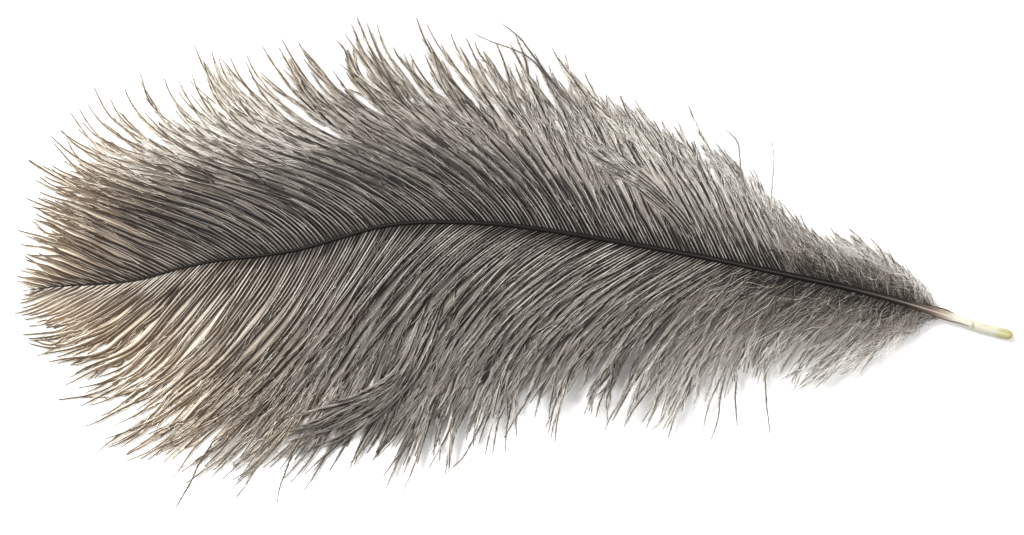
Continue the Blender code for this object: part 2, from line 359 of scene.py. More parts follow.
# soft spots of tone over the vanes: side, or 0 for both, station, share, their spreads, amount
toneSpots = {
    "darker": [
        (1, 150, 0.28, 45, 0.20, 0.11), (1, 190, 0.3, 20, 0.25, 0.06), (-1, 118, 0.75, 24, 0.25, 0.20),
        (-1, 88, 0.62, 16, 0.2, 0.10), (-1, 126, 0.65, 6, 0.10, 0.08), (0, 45, 0.05, 35, 0.12, 0.06),
        (1, 112, 0.2, 30, 0.3, 0.02), (1, 114, 0.8, 14, 0.3, 0.03), (-1, 129, 0.82, 5, 0.12, 0.12),
        (-1, 152, 0.68, 8, 0.15, 0.12), (-1, 166, 0.65, 8, 0.2, 0.07), (-1, 73, 0.6, 7, 0.2, 0.12),
        (1, 44, 0.5, 8, 0.3, 0.09), (1, 131, 0.92, 12, 0.2, 0.09), (-1, 148, 0.3, 12, 0.25, 0.05),
        (-1, 57, 0.25, 14, 0.28, 0.06), (-1, 44, 0.45, 8, 0.22, 0.07), (-1, 123, 0.76, 7, 0.12, 0.08),
        (1, 123.5, 0.59, 9, 0.2, 0.07),
    ],
    "warmer": [
        (1, 240, 0.8, 40, 0.9, 0.85), (-1, 220, 0.8, 40, 0.7, 0.95), (1, 190, 0.95, 35, 0.35, 0.65),
        (-1, 180, 0.95, 30, 0.35, 0.9), (1, 135, 0.94, 45, 0.20, 0.5), (-1, 143, 0.77, 6, 0.08, 0.5),
    ],
    "creamy": [
        (1, 240, 0.85, 24, 0.5, 0.26), (1, 205, 1.0, 24, 0.3, 0.24), (-1, 240, 0.7, 26, 0.5, 0.26),
        (-1, 205, 0.75, 26, 0.4, 0.26), (-1, 171, 0.94, 18, 0.22, 0.42),
        (-1, 108, 1.02, 26, 0.13, 0.26), (-1, 76, 1.0, 18, 0.12, 0.12), (0, 254, 0.5, 15, 2.0, 0.25),
        (1, 52, 0.6, 12, 0.4, 0.20), (1, 88, 0.6, 16, 0.4, 0.10), (1, 158, 0.95, 18, 0.3, 0.30),
        (-1, 189, 0.33, 13, 0.2, 0.16), (-1, 232, 0.3, 14, 0.45, 0.08),
    ],
    "paler": [
        (-1, 205, 0.68, 24, 0.35, 0.11), (1, 238, 0.7, 22, 0.4, 0.12), (1, 57, 0.75, 16, 0.3, 0.08),
        (-1, 229, 0.42, 17, 0.5, 0.20), (-1, 170, 0.28, 28, 0.22, 0.08), (1, 170, 0.75, 30, 0.22, 0.11),
        (1, 32, 0.9, 14, 0.3, 0.04), (1, 20, 0.7, 4, 0.6, 0.30), (-1, 23, 0.7, 7, 0.6, 0.12),
        (0, 252, 0.5, 10, 2.0, 0.24), (-1, 202, 0.25, 22, 0.32, 0.09), (-1, 225, 0.2, 20, 0.4, 0.07),
        (1, 98, 0.34, 20, 0.2, 0.07), (1, 63, 0.43, 14, 0.25, 0.08), (1, 178, 0.75, 14, 0.25, 0.05),
        (-1, 234, 0.5, 13, 0.6, 0.38), (1, 165, 0.5, 10, 0.3, 0.08), (1, 187, 0.18, 9, 0.2, 0.09),
        (1, 57, 0.33, 6, 0.25, 0.07), (-1, 121, 0.87, 5, 0.12, 0.1), (1, 82, 0.4, 8, 0.3, 0.11),
        (1, 148, 0.58, 8, 0.25, 0.10), (-1, 90, 0.2, 35, 0.2, 0.06), (-1, 168, 0.2, 10, 0.2, 0.06),
        (-1, 195, 0.55, 12, 0.3, 0.21), (-1, 151, 0.9, 7, 0.12, 0.12), (-1, 176, 0.82, 11, 0.15, 0.08),
    ],
}


def looseAt(side, station, share):
    stations, starts, ends = zip(*looseRows[side])
    return smoothStep(np.interp(station, stations, starts), np.interp(station, stations, ends), share)


# the barbs. Pairs are a value at a station, and those in braces are by side
barbSizes = {
    "spacing": [(20, 0.55), (45, 0.68), (65, 1.0), (205, 1.05), (225, 1.4), (240, 2.2), (252, 2.8)],
    "unevenSpacing": 0.18, "points": 28, "seed": 11,
    # how far the barbs come, as a part of the drawn reach, and then each one as a part of that
    "reachScale": {
        1: [
            (19, 0.85), (26, 1.0), (30, 0.9), (40, 0.82), (48, 0.84), (60, 0.96), (100, 0.98),
            (120, 1.0), (130, 0.99), (150, 1.0), (160, 0.97), (175, 0.99), (200, 0.95), (210, 0.95),
            (225, 1.02), (240, 1.0), (250, 0.85),
        ],
        -1: [
            (19, 1.15), (25, 1.15), (33, 1.05), (40, 0.96), (48, 0.9), (60, 0.96), (80, 0.92),
            (95, 0.95), (110, 0.97), (115, 0.92), (122, 0.88), (130, 1.02), (136, 0.97), (144, 0.92),
            (150, 0.91), (160, 0.87), (175, 0.99), (190, 0.95), (200, 0.96), (210, 1.0), (230, 0.92),
            (240, 1.0), (250, 0.85),
        ],
    },
    "shortest": {
        1: [(20, 0.84), (250, 0.84)],
        -1: [(42, 0.84), (54, 0.70), (88, 0.70), (102, 0.84), (250, 0.84)],
    },
    "longest": 1.05, "longOnes": (0.12, 1.05, 1.14),  # the odds of a long one, and its least and most
    "atMost": {
        1: [(20, 1.14), (250, 1.14)],
        -1: [(85, 1.14), (97, 0.98), (136, 0.98), (150, 1.14)],
    },
    # barbs to a bunch, where a bunch closes up and comes apart again, and how close it comes together
    "inBunch": [(20, 1.9), (120, 2.2), (150, 3.2), (200, 3.0), (240, 2.0)],
    "mergeFrom": (0.05, 0.20), "mergeOver": 0.17, "apartAgain": 0.82, "apartOver": (0.55, 0.95),
    "together": {
        1: [(20, 0.86), (180, 0.86), (205, 0.45), (250, 0.25)],
        -1: [(20, 0.86), (145, 0.84), (165, 0.55), (185, 0.4), (205, 0.32), (250, 0.2)],
    },
    # how strongly bunches lean to the middle of their lock, and from which share of the reach
    "lockPull": (0.05, 0.25), "lockFrom": 0.55, "lockTo": 1.05,
    # painted light and shade on each bunch, so that it reads as one lit ridge: how much paler it is for each
    # mm towards the feather's tip, and darker towards the quill
    "bunchLightAndShade": {
        1: [(20, 0.0), (90, 0.06), (125, 0.13), (205, 0.13), (245, 0.06)],
        -1: [(20, 0.0), (90, 0.03), (140, 0.07), (180, 0.06), (225, 0.10), (245, 0.05)],
    },
    "bunchHalf": 1.3, "ownTone": 0.035,
    # sideways sway in mm, of bunches inside and at the margin and of each barb, and by station
    "bunchSway": (0.35, 0.8), "bunchTurns": 1.3, "ownSway": 0.16, "ownTurns": 2.2,
    "swaying": {
        1: [(20, 1.3), (90, 1.1), (130, 1), (250, 0.7)],
        -1: [(20, 1.2), (110, 1.2), (140, 1.1), (175, 1), (250, 0.6)],
    },
    # the ends splay by these degrees and curl towards the tip by these mm, from a share of the reach
    "splay": 6.5, "mostSplay": 16, "splayFrom": 0.7,
    "endCurl": {
        1: [(20, 0), (250, 0)],
        -1: [(20, 0), (65, 1.2), (90, 4.6), (115, 6.5), (135, 4.8), (160, 2.0), (200, 0.6)],
    },
    "curlFrom": 0.62, "curlOver": 0.4, "curlSpread": (0.2, 1.5),
    # heights above the vane's net in mm: at the shaft, the arch in between, and how the ends rise
    "above": 0.45, "lift": (0.42, 0.78), "ownLift": 0.06, "tipLift": (-0.3, 1.4),
    "uneven": {
        1: [(20, 1), (150, 1), (190, 0.5), (210, 0.3)],
        -1: [(20, 1), (130, 0.9), (170, 0.5), (200, 0.3)],
    },
    # short barbs sway, splay and rise less: the reach in mm that does so in full, and the least share
    "fullReach": 45, "leastSize": 0.25,
    "slim": [(20, 0.45), (45, 0.6), (70, 1)],
}
# gaps where barbs part: side, station, share, spread of both, push in mm of station
partings = [
    (-1, 198, 0.58, 2.4, 0.10, 0.7), (1, 141, 0.82, 2.6, 0.12, 0.9), (1, 53, 0.9, 3.5, 0.3, 2.2),
    (1, 115.4, 0.53, 1.8, 0.2, -0.8), (1, 108, 0.52, 1.8, 0.2, -0.8), (1, 135.5, 0.52, 1.8, 0.2, -0.8),
    (-1, 126.5, 0.8, 3.2, 0.2, -1.7), (-1, 129.5, 0.58, 1.8, 0.2, -0.9),
]


def barbStations(rng):
    # where the barbs leave the shaft: the number of barbs passed is counted up in fine steps
    step = 0.05
    fine = np.arange(firstBarb, lastBarb, step)
    passed = np.cumsum(step / valueAt(barbSizes["spacing"], fine))
    count = int(passed[-1])
    off = barbSizes["unevenSpacing"]
    wanted = np.arange(count) + 0.5 + rng.uniform(-off, off, count)
    return np.interp(wanted, passed, fine)


def parted(side, station, share):
    # barbs moved away from each parting, or towards it where its push is negative
    for spotSide, atStation, atShare, wide, long, push in partings:
        if spotSide == side:
            off = (station - atStation) / wide
            near = np.exp(-off**2 - ((share - atShare) / long) ** 2)
            station = station + push * np.tanh(off * 3) * near
    return station


def bunchUp(rng, station):
    # the number of the bunch that each barb belongs to
    bunch = np.zeros(len(station), int)
    at = number = 0
    while at < len(station):
        many = int(valueAt(barbSizes["inBunch"], station[at]) + rng.random())
        bunch[at:at + many] = number
        at += many
        number += 1
    return bunch


def locksOf(side, station):
    # the middle of the lock that each place lies in, and the share of the reach where it begins
    numbers = range(drawing["locks"] + 1)
    edges = np.array([lockEdge(k) for k in numbers])
    begin = np.array([notchAt(k, side) for k in numbers])
    lock = np.clip(np.searchsorted(edges, station) - 1, 0, drawing["locks"] - 1)
    return (edges[lock] + edges[lock + 1]) / 2, (begin[lock] + begin[lock + 1]) / 2


def sizeAt(side, station):
    # how fully a barb of this reach sways and rises
    return np.clip(reachAt(side, station) / barbSizes["fullReach"], barbSizes["leastSize"], 1)


def endCurl(rng, side, station, share):
    # how far each barb curls towards the feather's tip
    curl = valueAt(barbSizes["endCurl"][side], station) * rng.uniform(*barbSizes["curlSpread"], station.shape)
    return curl * (np.maximum(share - barbSizes["curlFrom"], 0) / barbSizes["curlOver"]) ** 2


def splayOf(rng, count, spread, most):
    turn = np.clip(rng.normal(0, spread, (count, 1)), -most, most)
    return np.tan(np.radians(turn))


def layBarbs(side):
    rng = np.random.default_rng(barbSizes["seed"] + side)
    stations = barbStations(rng)
    station = stations[:, None]
    count = len(station)
    bunch = bunchUp(rng, stations)
    bunches = bunch.max() + 1
    members = np.bincount(bunch, minlength=bunches)
    bunchStation = (np.bincount(bunch, stations, minlength=bunches) / members)[bunch][:, None]
    lockStation, notch = locksOf(side, bunchStation)
    t = np.linspace(0, 1, barbSizes["points"])[None]
    low, high = valueAt(barbSizes["shortest"][side], stations), barbSizes["longest"]
    far = low + (high - low) * rng.random(count)
    odds, *longest = barbSizes["longOnes"]
    far = np.where(rng.random(count) < odds, rng.uniform(*longest, count), far)
    far = np.minimum(far, valueAt(barbSizes["atMost"][side], stations))
    share = t * (far * valueAt(barbSizes["reachScale"][side], stations))[:, None]
    # bunches close up on the way out and come apart at the margin, and lean towards their lock
    merge = rng.uniform(*barbSizes["mergeFrom"], bunches)[bunch][:, None]
    together = valueAt(barbSizes["together"][side], station)
    merged = together * smoothStep(merge, merge + barbSizes["mergeOver"], share)
    merged = merged * (1 - barbSizes["apartAgain"] * smoothStep(*barbSizes["apartOver"], share))
    # painted light and shade: each bunch is paler on its side towards the tip and darker on its quill side
    ahead = np.clip(station - bunchStation, -barbSizes["bunchHalf"], barbSizes["bunchHalf"])
    paintedBunchLight = valueAt(barbSizes["bunchLightAndShade"][side], station) * ahead * merged
    pull = rng.uniform(*barbSizes["lockPull"], bunches)[bunch][:, None]
    pulled = pull * smoothStep(np.maximum(notch, barbSizes["lockFrom"]), barbSizes["lockTo"], share)
    moved = station + merged * (bunchStation - station)
    moved = moved + pulled * (lockStation - bunchStation)
    moved = parted(side, moved, share)
    line = netPoint(side, moved, share)
    across = frameOf(line, side)[1]
    bunchWave = wander(rng, bunches, share[:1] * barbSizes["bunchTurns"])[bunch]
    bunchWave = bunchWave * smoothStep(0.08, 0.4, share)
    bunchWave = bunchWave * blend(barbSizes["bunchSway"], smoothStep(0.5, 1.0, share))
    ownWave = wander(rng, count, share * barbSizes["ownTurns"]) * smoothStep(0.04, 0.3, share)
    turn = splayOf(rng, count, barbSizes["splay"], barbSizes["mostSplay"])
    splay = turn * np.maximum(share - barbSizes["splayFrom"], 0) * reachAt(side, station)
    size = sizeAt(side, station)
    sway = (bunchWave + barbSizes["ownSway"] * ownWave) * valueAt(barbSizes["swaying"][side], station)
    curled = endCurl(rng, side, station, share)
    line = line + across * (sway * size + splay + curled)[..., None]
    rise = rng.uniform(*barbSizes["lift"], bunches)[bunch][:, None]
    rise = rise + rng.uniform(-barbSizes["ownLift"], barbSizes["ownLift"], (count, 1))
    line[..., 2] += barbSizes["above"] + rise * np.sin(np.pi * t**0.7) * size
    uneven = valueAt(barbSizes["uneven"][side], station)
    line[..., 2] += rng.uniform(*barbSizes["tipLift"], (count, 1)) * t**3 * size * uneven
    return {
        "side": side, "station": moved, "share": share, "t": np.broadcast_to(t, share.shape),
        "line": line, "slim": valueAt(barbSizes["slim"], station), "rng": rng, "root": 0.6,
        "own": rng.normal(0, barbSizes["ownTone"], (count, 1)) + paintedBunchLight,
    }


# thin loose barbs that fill the outer part of the vanes, between the ones that start at the shaft
fillerSizes = {
    "count": 320, "stations": (32, 228), "from": (0.30, 0.66), "long": (0.24, 0.5), "upTo": 1.08,
    "points": 14, "sway": 0.7, "turn": 5.0, "mostTurn": 12, "above": 0.4, "rise": (-0.1, 1.2),
    "slim": [(20, 0.6), (45, 0.7), (70, 1)], "slimmer": 0.62, "ownTone": 0.05, "seed": 41,
}


def layFillers(side):
    rng = np.random.default_rng(fillerSizes["seed"] + side)
    count = fillerSizes["count"]
    station = rng.uniform(*fillerSizes["stations"], (count, 1))
    t = np.linspace(0, 1, fillerSizes["points"])[None]
    start = rng.uniform(*fillerSizes["from"], (count, 1))
    end = np.minimum(start + rng.uniform(*fillerSizes["long"], (count, 1)), fillerSizes["upTo"])
    share = (start + (end - start) * t) * valueAt(barbSizes["reachScale"][side], station)
    moved = parted(side, station + 0 * t, share)
    line = netPoint(side, moved, share)
    across = frameOf(line, side)[1]
    size = sizeAt(side, station)
    turn = splayOf(rng, count, fillerSizes["turn"], fillerSizes["mostTurn"])
    sway = fillerSizes["sway"] * wander(rng, count, t) * size * smoothStep(0, 0.3, t)
    line = line + across * (sway + turn * (end - start) * t * reachAt(side, station))[..., None]
    line = line + across * endCurl(rng, side, station, share)[..., None]
    rise = rng.uniform(*fillerSizes["rise"], (count, 1)) * size * blend((0.3, 1), t)
    line[..., 2] += fillerSizes["above"] + rise * valueAt(barbSizes["uneven"][side], station)
    return {
        "side": side, "station": moved, "share": share, "t": np.broadcast_to(t, share.shape),
        "line": line, "slim": fillerSizes["slimmer"] * valueAt(fillerSizes["slim"], station),
        "rng": rng, "own": rng.normal(0, fillerSizes["ownTone"], (count, 1)), "root": 0.1,
    }


# plain soft barbs that lie under the others, so that no floor shows between the bunches; their darker tone is
# painted shade in the gaps
underSizes = {
    "stations": (40, 228), "spacing": 2.3, "uneven": 0.4, "points": 14, "from": 0.10, "endSpread": (0.9, 1.1),
    "upTo": {
        1: [(45, 0.5), (120, 0.66), (215, 0.62)],
        -1: [(45, 0.5), (150, 0.68), (180, 0.74), (196, 0.74), (206, 0.66), (228, 0.66)],
    },
    # the negative tone is painted shade between the bunches
    "slim": 1.7, "below": 0.3, "tone": -0.1, "seed": 61,
}


def layUnder(side):
    rng = np.random.default_rng(underSizes["seed"] + side)
    station = np.arange(*underSizes["stations"], underSizes["spacing"])[:, None]
    station = station + rng.uniform(-underSizes["uneven"], underSizes["uneven"], station.shape)
    t = np.linspace(0, 1, underSizes["points"])[None]
    end = valueAt(underSizes["upTo"][side], station) * rng.uniform(*underSizes["endSpread"], station.shape)
    share = underSizes["from"] + (end - underSizes["from"]) * t
    line = netPoint(side, station + 0 * t, share)
    line[..., 2] -= underSizes["below"]
    return {
        "side": side, "station": station + 0 * t, "share": share, "t": np.broadcast_to(t, share.shape),
        "line": line, "slim": np.full(station.shape, underSizes["slim"]), "rng": rng, "root": 0.1,
        "own": np.full(station.shape, underSizes["tone"]),
    }


# In the looks of stems, webs and fluff, a pair of widths, lengths, leans or tones is for the crisp inner
# part of a vane and for its loose outer part. Other pairs are a least and a most, or a start and an end.
# the stem of a barb: a low roof, with a painted highlight on the side towards the tip and, on the other side,
# its own dark colour deepened by painted shade
stemLook = {
    "pale": (0.30, 0.16), "dark": (0.58, 0.58), "ridge": 0.13,
    "wider": [(20, 1), (175, 1), (205, 1.22), (235, 1.12), (250, 0.8)],
    "end": 0.32, "narrowsFrom": 0.62, "rootOver": 0.08,
    # painted light on the stems: the tone of the painted highlight, the tone of the dark side with its
    # painted shade, painted glints along the highlight, and bySide shifting both for each vane
    "highlightTone": (0.66, 0.70), "darkAndShadeTone": (0.07, 0.20), "glints": 0.17,
    "bySide": {1: (0.0, 0.0), -1: (-0.12, 0.02)},  # what each vane adds to both tones
    "endTone": 0.34, "bareOver": (0.78, 0.96),
}
# the soft web on both sides of a stem, a low roof too: its half width, and its tone from the stem out, paler
# on the side towards the tip as painted light
webLook = {
    "half": (0.95, 1.1), "slope": 0.5, "below": 0.08, "narrows": (0.50, 0.90), "narrow": 0.06,
    "slimmer": [
        (20, 0.4), (45, 0.55), (75, 1), (104, 1.05), (115, 1.35), (126, 1.1), (225, 1), (250, 0.7),
    ],
    # how much further out it narrows, as a part of the barb's length
    "later": {
        1: [(20, -0.05), (135, -0.05), (152, -0.12), (185, 0), (210, 0.06), (250, 0.12)],
        -1: [
            (20, -0.1), (60, 0.02), (85, 0.05), (100, 0.1), (128, 0.1), (155, -0.12), (180, 0),
            (210, 0.04), (250, 0.1),
        ],
    },
    # places across the web from the tip's side to the quill's side, and their tones; the tip's side is paler
    # as painted light
    "places": (1, 0.48, 0, -0.38, -1), "tones": (0.43, 0.31, 0.13, 0.20, 0.37),
    "looser": (0.20, 0.17, 0.15, 0.16, 0.22), "paleEnds": 0.38, "speckle": 0.05,
}
# the fluff that stands out of the web, close and short at the shaft, long and pale further out
fluffLook = {
    "perMm": [(20, 2.2), (42, 2.8), (62, 5.2), (170, 5.2), (215, 3.6), (250, 2.0)],
    "length": (1.3, 2.7), "lengthSpread": (0.45, 1.4), "mostLength": 0.25, "atEnd": 0.55,
    "upTo": 0.96, "outward": 0.8, "lean": (24, 18), "leanSpread": 8, "roll": 0.7,
    "width": 0.15, "widthSpread": (0.6, 1.3), "below": 0.1, "drop": (-0.1, 0.14),
    "near": (0.17, 0.36), "far": (0.38, 0.80), "spread": 0.08, "atTip": 0.14, "cream": 0.8,
    # some of it is hazy: its share, and how much longer, thinner, more askew and paler it is
    "hazy": 0.12, "hazyLonger": 1.6, "hazyThinner": 0.5, "hazyLean": 48, "hazyPaler": 0.2,
}
# longer hairs that leave the stems and run on beside them
wispLook = {
    "perMm": [(20, 0.6), (60, 0.75), (135, 0.7), (160, 0.4), (190, 0.2), (250, 0.1)],
    "length": (4.0, 12.0), "points": 5, "from": 0.04, "over": 0.84, "outward": 0.85,
    "aside": (0.15, 1.4), "sway": 0.2, "rise": (-0.1, 0.5), "roll": 0.6,
    "width": 0.16, "widthSpread": (0.6, 1.2), "widthInside": 0.45,
    "tones": {0.78: 0.36, 0.56: 0.28, 0.18: 0.36}, "middle": 0.34,  # tones and their odds
}
# painted shade where the barbs leave the shaft: how dark it is, and over how many mm
rootShade = {
    "amount": {
        1: [(20, 0.05), (32, 0.24), (50, 0.24), (80, 0.14), (250, 0.08)],
        -1: [
            (20, 0.05), (32, 0.22), (50, 0.24), (80, 0.18), (110, 0.32), (140, 0.26), (215, 0.26),
            (250, 0.12),
        ],
    },
    "over": [(20, 5.0), (50, 5.0), (80, 3.4), (105, 5.0), (130, 5.0), (150, 3.0)],
}


def describe(strands):
    # what the looks need to know at each point: how loose, how far out, its tones and its direction
    side, station, share = strands["side"], strands["station"], strands["share"]
    strands["loose"] = looseAt(side, station, share)
    strands["edge"] = smoothStep(0.52, 1.0, share)
    paler = spots(toneSpots["paler"], side, station, share)
    darker = spots(toneSpots["darker"], side, station, share)
    fromShaft = share * reachAt(side, station)
    away = fromShaft / valueAt(rootShade["over"], station)
    # painted shade in the crease where the barbs meet the shaft
    paintedRootShade = valueAt(rootShade["amount"][side], station) * np.exp(-(away**2))
    strands["shift"] = paler - darker - paintedRootShade + strands["own"]
    strands["cream"] = spots(toneSpots["creamy"], side, station, share)
    strands["warmth"] = np.clip(spots(toneSpots["warmer"], side, station, share), 0, 0.95)
    strands["tangent"], strands["across"] = frameOf(strands["line"], side)
    return strands


# inside the vane the palest streaks, mostly the stems' painted highlights, stay creamy, and they turn white
# only towards the margin
streakLimits = {"top": (0.70, 1.0), "over": (0.55, 0.88), "hold": 0.8}


def creamyAtMost(tones, share):
    top = blend(streakLimits["top"], smoothStep(*streakLimits["over"], share))[..., None]
    return tones - streakLimits["hold"] * np.maximum(tones - top, 0)


def stems(strands):
    line, across, t = strands["line"], strands["across"], strands["t"]
    loose, shift, rng = strands["loose"], strands["shift"], strands["rng"]
    taper = stemLook["end"] + (1 - stemLook["end"]) * smoothStep(1.0, stemLook["narrowsFrom"], t)
    taper = taper * blend((strands["root"], 1), smoothStep(0, stemLook["rootOver"], t)) * strands["slim"]
    pale = blend(stemLook["pale"], loose) * taper
    dark = blend(stemLook["dark"], loose) * taper * valueAt(stemLook["wider"], strands["station"])
    ridge = stemLook["ridge"] * taper
    # painted glints: the painted highlight brightens and fades along each stem
    glint = stemLook["glints"] * wander(rng, len(line), t * 4)
    paler, darker = stemLook["bySide"][strands["side"]]
    highlightTone = blend(stemLook["highlightTone"], loose) + shift + glint + paler - 0.6 * strands["cream"]
    darkAndShadeTone = blend(stemLook["darkAndShadeTone"], loose) + shift * 0.6 + darker + 0.12 * strands["edge"]
    darkAndShadeTone = darkAndShadeTone + 0.4 * strands["cream"]
    bare = smoothStep(*stemLook["bareOver"], t)
    darkAndShadeTone = darkAndShadeTone + (stemLook["endTone"] - darkAndShadeTone) * bare
    highlightTone = highlightTone + (stemLook["endTone"] + 0.1 - highlightTone) * bare
    crest = line + up * (ridge * 0.4)[..., None]
    low = up * ridge[..., None]
    # the painted highlight edge faces the tip, and the dark edge in painted shade faces the quill
    highlightEdge = line + across * pale[..., None] - low
    darkShadedEdge = line - across * dark[..., None] - low
    rails = np.stack([highlightEdge, crest, crest, darkShadedEdge], 2)
    tones = creamyAtMost(np.stack([highlightTone, highlightTone, darkAndShadeTone * 0.85, darkAndShadeTone], 2), strands["share"])
    return banded(rails, tones, strands["warmth"], ((0, 1), (2, 3), (3, 0)))


def web(strands):
    line, across, station, loose = strands["line"], strands["across"], strands["station"], strands["loose"]
    along = strands["t"] - valueAt(webLook["later"][strands["side"]], station)
    narrowing = smoothStep(*webLook["narrows"], along)
    half = blend(webLook["half"], loose) * blend((1, webLook["narrow"]), narrowing)
    half = half * strands["slim"] * valueAt(webLook["slimmer"], station)
    speckle = webLook["speckle"] * wander(strands["rng"], len(line), strands["t"] * 5)
    rails, tones = [], []
    for place, tone, looser in zip(webLook["places"], webLook["tones"], webLook["looser"]):
        off = half * place
        drop = webLook["below"] + webLook["slope"] * np.abs(off)
        rails.append(line + across * off[..., None] - up * drop[..., None])
        paler = webLook["paleEnds"] * strands["edge"] * (0.2 + 0.8 * abs(place)) + strands["cream"]
        tones.append(tone + looser * loose + strands["shift"] + paler + speckle * abs(place))
    tones = creamyAtMost(np.stack(tones, 2), strands["share"])
    return banded(np.stack(rails, 2), tones, strands["warmth"], ((0, 1), (1, 2), (2, 3), (3, 4)))


def pick(values, owner, at):
    # a value at a place along its barb, with at from 0 to 1
    k = at * (values.shape[1] - 1)
    i = np.minimum(k.astype(int), values.shape[1] - 2)
    f = k - i
    if values.ndim == 3:
        f = f[:, None]
    return values[owner, i] * (1 - f) + values[owner, i + 1] * f


def ownersOf(strands, perMm, least):
    # each barb's length, and for each hair the number of the barb that it grows on
    lengths = np.linalg.norm(np.diff(strands["line"], axis=1), axis=2).sum(1)
    counts = lengths * valueAt(perMm, strands["station"][:, 0])
    return lengths, np.repeat(np.arange(len(lengths)), np.maximum(counts.astype(int), least))


def fluff(strands):
    rng, line = strands["rng"], strands["line"]
    bothSides = [(station, close * 2) for station, close in fluffLook["perMm"]]
    lengths, owner = ownersOf(strands, bothSides, 4)
    total = len(owner)
    at = fluffLook["upTo"] * rng.random(total) ** fluffLook["outward"]
    hand = rng.choice((-1, 1), total)[:, None]
    base = pick(line, owner, at)
    tangent = pick(strands["tangent"], owner, at)
    across = pick(strands["across"], owner, at) * hand
    loose = pick(strands["loose"], owner, at)
    edge = pick(strands["edge"], owner, at)
    shift = pick(strands["shift"] + fluffLook["cream"] * strands["cream"], owner, at)
    slim = strands["slim"][owner, 0]
    hazy = (rng.random(total) < fluffLook["hazy"] * loose).astype(float)
    lean = blend(fluffLook["lean"], loose)
    lean = lean + hazy * (fluffLook["hazyLean"] - lean) + rng.normal(0, fluffLook["leanSpread"], total)
    lean = np.radians(lean)[:, None]
    way = tangent * np.cos(lean) + across * np.sin(lean)
    ending = 1 - (1 - fluffLook["atEnd"]) * smoothStep(0.6, 1.0, at / fluffLook["upTo"])
    long = blend(fluffLook["length"], loose) * ending * rng.uniform(*fluffLook["lengthSpread"], total)
    long = long * (1 + (fluffLook["hazyLonger"] - 1) * hazy)
    long = np.minimum(long * blend((0.4, 1), slim), fluffLook["mostLength"] * lengths[owner])
    wide = np.cross(up, way)
    roll = rng.uniform(-fluffLook["roll"], fluffLook["roll"], total)[:, None]
    wide = wide * np.cos(roll) + up * np.sin(roll)
    half = fluffLook["width"] / 2 * rng.uniform(*fluffLook["widthSpread"], total)
    half = half * (1 - 0.3 * edge) * blend((0.5, 1), slim) * blend((1, fluffLook["hazyThinner"]), hazy)
    half = half[:, None]
    base = base - up * fluffLook["below"]
    drop = webLook["slope"] * np.sin(lean) * long[:, None] + rng.uniform(*fluffLook["drop"], (total, 1))
    end = base + way * long[:, None] - up * drop
    points = np.stack([base - wide * half, base + wide * half, end], 1).reshape(-1, 3)
    faces = np.arange(total * 3).reshape(-1, 3)
    speckle = rng.normal(0, fluffLook["spread"], total)
    shared = shift + speckle + fluffLook["atTip"] * edge
    near = blend(fluffLook["near"], loose) + shared + fluffLook["hazyPaler"] * hazy
    far = blend(fluffLook["far"], loose) + shared
    warmth = pick(strands["warmth"], owner, at)
    tones = np.stack([np.stack([near, near, far], 1).ravel(), np.repeat(warmth, 3)], 1)
    return points, faces, tones


def ribbons(line, width, tone, warmth, roll):
    # thin flat hairs: line is hair, step, place
    tangent = np.gradient(line, axis=1)
    tangent = tangent / np.linalg.norm(tangent, axis=2)[..., None]
    wide = np.cross(up, tangent)
    wide = wide / np.maximum(np.linalg.norm(wide, axis=2), 1e-6)[..., None]
    wide = wide * np.cos(roll)[:, None, None] + up * np.sin(roll)[:, None, None]
    half = wide * (width / 2)[..., None]
    rails = np.stack([line - half, line + half], 2)
    return banded(rails, np.stack([tone, tone], 2), warmth, ((0, 1),))


def wisps(strands):
    rng, line = strands["rng"], strands["line"]
    lengths, owner = ownersOf(strands, wispLook["perMm"], 1)
    count, steps = len(owner), wispLook["points"]
    start = wispLook["from"] + wispLook["over"] * rng.random(count) ** wispLook["outward"]
    loose = pick(strands["loose"], owner, start)
    edge = pick(strands["edge"], owner, start)
    slim = strands["slim"][owner, 0]
    long = rng.uniform(*wispLook["length"], count) * blend((0.6, 1), loose) * blend((0.4, 1), slim)
    s = np.linspace(0, 1, steps)[None]
    at = np.minimum(start[:, None] + s * (long / lengths[owner])[:, None], 0.999)
    owners = np.repeat(owner, steps)
    base = pick(line, owners, at.ravel()).reshape(count, steps, 3)
    across = pick(strands["across"], owners, at.ravel()).reshape(count, steps, 3)
    low, high = wispLook["aside"]
    hand = rng.choice((-1, 1), (count, 1)) * blend((0.4, 1), slim)[:, None]
    aside = hand * (low * rng.random((count, 1)) + high * rng.random((count, 1)) * s**1.3)
    aside = aside + wispLook["sway"] * wander(rng, count, s * 1.5)
    path = base + across * aside[..., None]
    path[..., 2] += 0.1 - 0.3 * np.abs(aside) + rng.uniform(*wispLook["rise"], (count, 1)) * s
    width = wispLook["width"] * rng.uniform(*wispLook["widthSpread"], (count, 1)) * (1.04 - s)
    width = width * (blend((0.6, 1), slim) * blend((wispLook["widthInside"], 1), loose))[:, None]
    kinds, odds = np.array(list(wispLook["tones"].items())).T
    tone = rng.choice(kinds, count, p=odds / odds.sum())
    tone = blend((wispLook["middle"], tone), blend((0.6, 1), loose))
    tone = tone + pick(strands["shift"], owner, start) + 0.06 * edge
    tone = np.broadcast_to(tone[:, None], at.shape)
    warmth = np.broadcast_to(pick(strands["warmth"], owner, start)[:, None], at.shape)
    return ribbons(path, width, tone, warmth, rng.uniform(-wispLook["roll"], wispLook["roll"], count))


def chosen(strands, which):
    part = dict(strands)
    for key in ("station", "share", "t", "line", "slim", "own"):
        part[key] = strands[key][which]
    return part


def dressed(strands):
    return [web(strands), stems(strands), fluff(strands), wisps(strands)]


